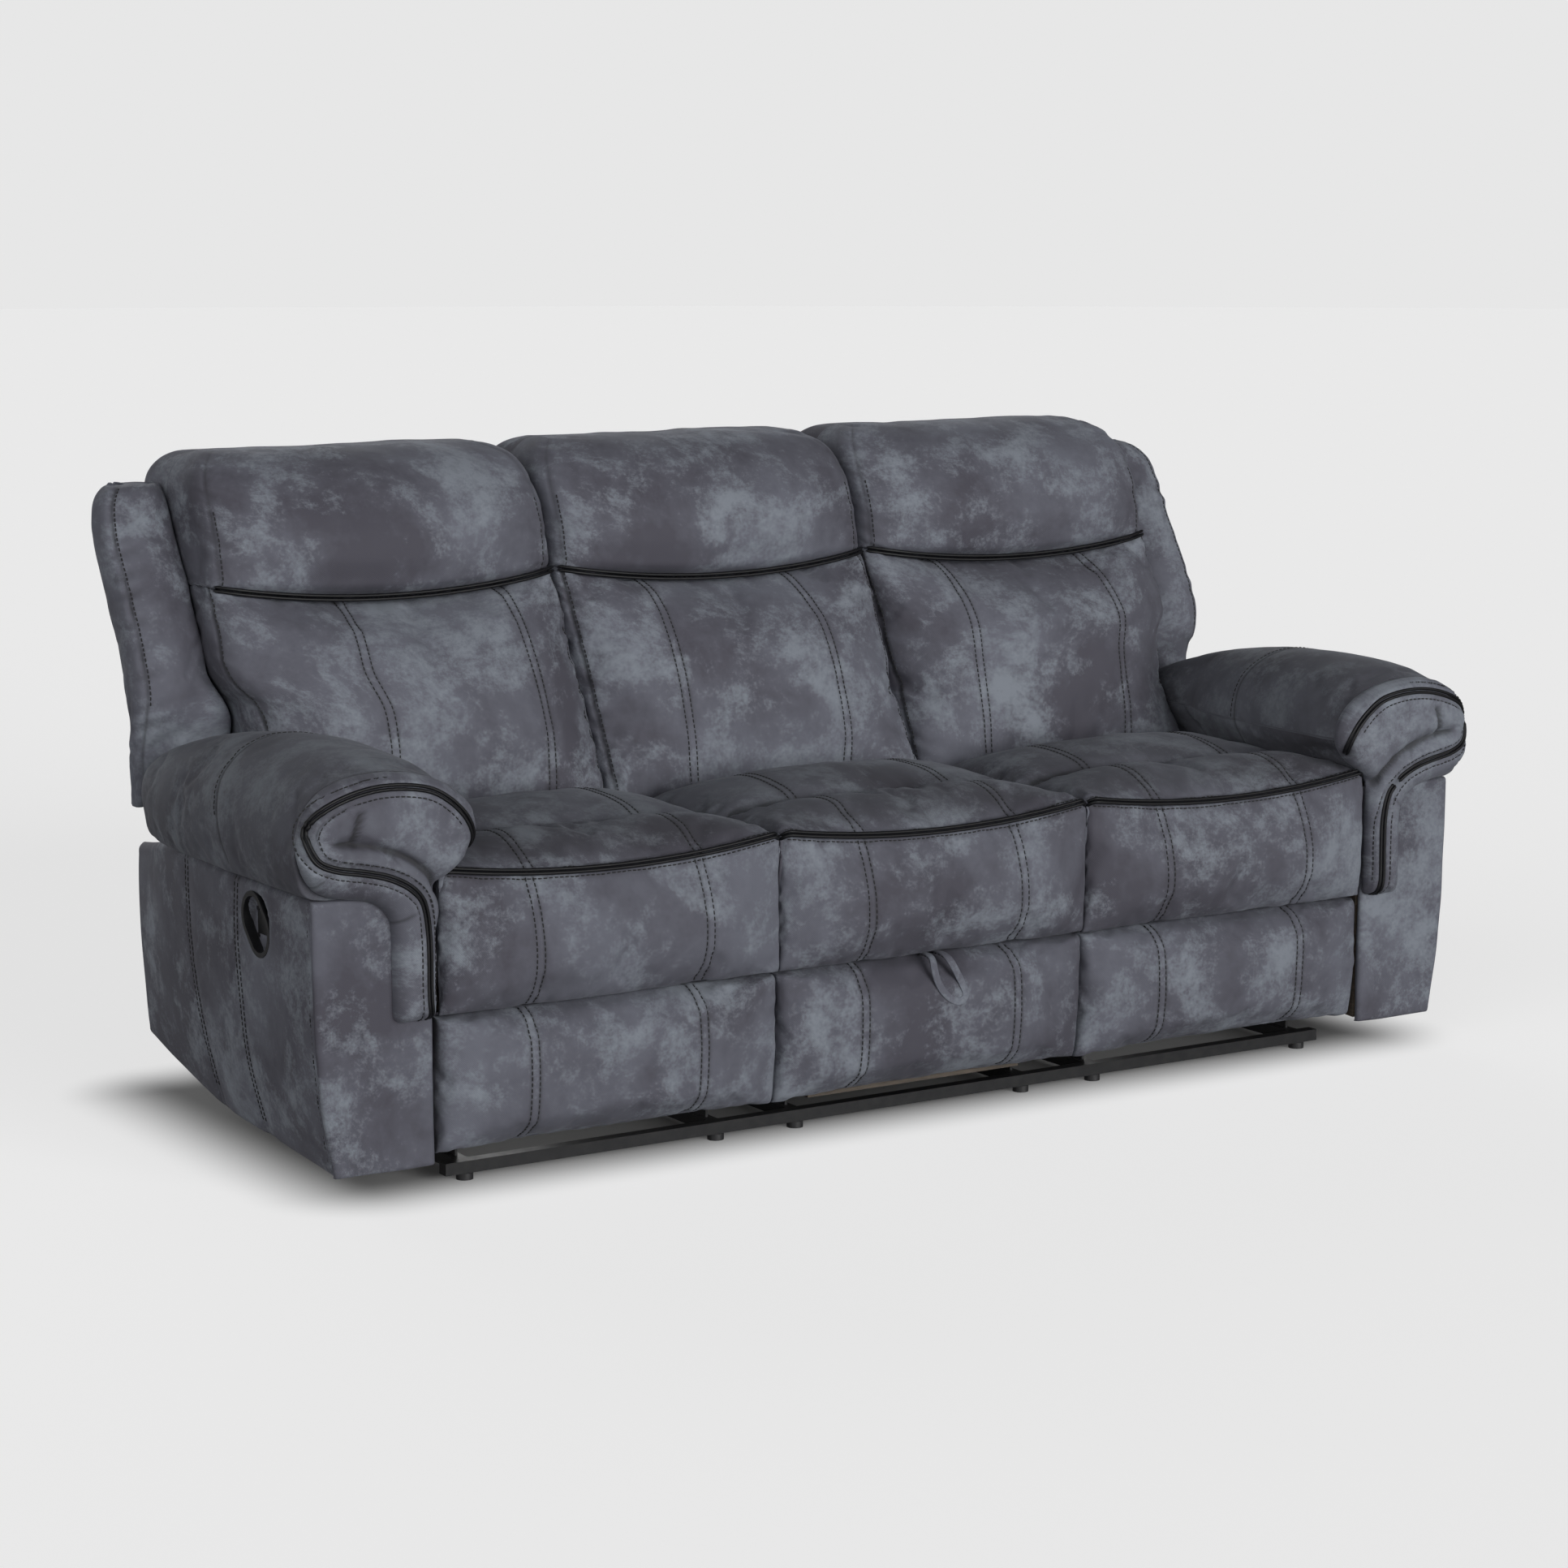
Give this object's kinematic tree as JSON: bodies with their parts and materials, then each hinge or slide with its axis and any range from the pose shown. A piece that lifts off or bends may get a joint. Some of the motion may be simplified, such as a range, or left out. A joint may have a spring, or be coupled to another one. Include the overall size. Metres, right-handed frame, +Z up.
{
  "type": "reclining sofa",
  "caption": "Wide padded sofa with rolled arms; outer seats recline by side levers and unfold footrests, a drawer with a pull strap sits under the centre seat.",
  "frame": {"origin": "on the floor under the middle of the sofa at rest", "axes": "+X towards the right end as seen from the front, -Y towards the front that a sitter faces, +Z up"},
  "size_m": [2.121, 0.9554, 1.016],
  "materials": {
    "upholstery": "slate grey brushed suede-look fabric, mottled lighter and darker, soft sheen",
    "strap": "the cover's grey fabric, folded and sewn",
    "piping": "black coated piping, soft gloss",
    "thread": "black sewing thread",
    "screw": "black screws in the latch cups",
    "latch_plastic": "black moulded plastic",
    "foot_plastic": "black glide feet",
    "steel_black": "black painted steel",
    "plywood": "raw plywood",
    "webbing": "black elastic webbing",
    "cable_sleeve": "black cable sleeve"
  },
  "bodies": {
    "base": {"base_rails": "steel_black", "feet": "foot_plastic", "mechanism_plates": "steel_black", "seat_frames": "plywood", "seat_webbing": "webbing", "left_seat_cushion": "upholstery", "centre_seat_cushion": "upholstery", "right_seat_cushion": "upholstery", "left_seat_border": "upholstery", "centre_seat_border": "upholstery", "right_seat_border": "upholstery", "centre_back_frame": "plywood", "centre_back_brackets": "steel_black", "centre_rear_panel": "upholstery", "centre_lumbar_cushion": "upholstery", "centre_head_cushion": "upholstery", "drawer_runners": "steel_black", "arm_brackets": "steel_black", "release_cables": "cable_sleeve", "left_arm_frame": "plywood", "left_arm_side_panel": "upholstery", "left_arm_front_panel": "upholstery", "left_arm_pad": "upholstery", "left_arm_boot": "upholstery", "left_latch_cup": "latch_plastic", "right_arm_frame": "plywood", "right_arm_side_panel": "upholstery", "right_arm_front_panel": "upholstery", "right_arm_pad": "upholstery", "right_arm_boot": "upholstery", "right_latch_cup": "latch_plastic"},
    "left_back": {"left_back_frame": "plywood", "left_back_brackets": "steel_black", "left_rear_panel": "upholstery", "left_lumbar_cushion": "upholstery", "left_head_cushion": "upholstery", "left_wing": "upholstery"},
    "left_fold": {"left_fold_arms": "steel_black"},
    "left_reach": {"left_reach_arms": "steel_black"},
    "left_footrest": {"left_footrest_brackets": "steel_black", "left_footrest_board": "plywood", "left_footrest_pad": "upholstery"},
    "left_lever": {"left_release_lever": "latch_plastic"},
    "right_back": {"right_back_frame": "plywood", "right_back_brackets": "steel_black", "right_rear_panel": "upholstery", "right_lumbar_cushion": "upholstery", "right_head_cushion": "upholstery", "right_wing": "upholstery"},
    "right_fold": {"right_fold_arms": "steel_black"},
    "right_reach": {"right_reach_arms": "steel_black"},
    "right_footrest": {"right_footrest_brackets": "steel_black", "right_footrest_board": "plywood", "right_footrest_pad": "upholstery"},
    "right_lever": {"right_release_lever": "latch_plastic"},
    "drawer": {"drawer_box": "plywood", "drawer_slides": "steel_black", "drawer_front_board": "plywood", "drawer_front_pad": "upholstery", "pull_strap": "strap"}
  },
  "joints": [
    {"name": "left_recline", "type": "hinge", "parent": "base", "child": "left_back", "pos_m": [-0.56, 0.15, 0.33], "axis": [-1, 0, 0], "range_deg": [0, 23]},
    {"name": "left_footrest_fold", "type": "hinge", "parent": "base", "child": "left_fold", "pos_m": [-0.56, -0.317, 0.24], "axis": [-1, 0, 0], "range_deg": [0, 100]},
    {"name": "left_footrest_reach", "type": "hinge", "parent": "left_fold", "child": "left_reach", "pos_m": [-0.56, -0.2352, 0.06851], "axis": [-1, 0, 0], "range_deg": [-100, 0]},
    {"name": "left_footrest_tilt", "type": "hinge", "parent": "left_reach", "child": "left_footrest", "pos_m": [-0.56, -0.37626, 0.23077], "axis": [-1, 0, 0], "range_deg": [0, 90]},
    {"name": "left_release", "type": "hinge", "parent": "base", "child": "left_lever", "pos_m": [-1.0135, -0.232, 0.376], "axis": [0, 0, -1], "range_deg": [0, 30], "stiffness_Nm_per_rad": 0.25, "springref_deg": -11.46},
    {"name": "right_recline", "type": "hinge", "parent": "base", "child": "right_back", "pos_m": [0.56, 0.15, 0.33], "axis": [-1, 0, 0], "range_deg": [0, 23]},
    {"name": "right_footrest_fold", "type": "hinge", "parent": "base", "child": "right_fold", "pos_m": [0.56, -0.317, 0.24], "axis": [-1, 0, 0], "range_deg": [0, 100]},
    {"name": "right_footrest_reach", "type": "hinge", "parent": "right_fold", "child": "right_reach", "pos_m": [0.56, -0.2352, 0.06851], "axis": [-1, 0, 0], "range_deg": [-100, 0]},
    {"name": "right_footrest_tilt", "type": "hinge", "parent": "right_reach", "child": "right_footrest", "pos_m": [0.56, -0.37626, 0.23077], "axis": [-1, 0, 0], "range_deg": [0, 90]},
    {"name": "right_release", "type": "hinge", "parent": "base", "child": "right_lever", "pos_m": [1.0135, -0.232, 0.376], "axis": [0, 0, 1], "range_deg": [0, 30], "stiffness_Nm_per_rad": 0.25, "springref_deg": -11.46},
    {"name": "drawer_slide", "type": "slide", "parent": "base", "child": "drawer", "axis": [0, -1, 0], "range_m": [0, 0.35]}
  ],
  "couplings": [
    {"joint": "left_footrest_reach", "follows": "left_footrest_fold", "ratio": -1},
    {"joint": "left_footrest_tilt", "follows": "left_footrest_fold", "ratio": 0.9},
    {"joint": "right_footrest_reach", "follows": "right_footrest_fold", "ratio": -1},
    {"joint": "right_footrest_tilt", "follows": "right_footrest_fold", "ratio": 0.9}
  ]
}
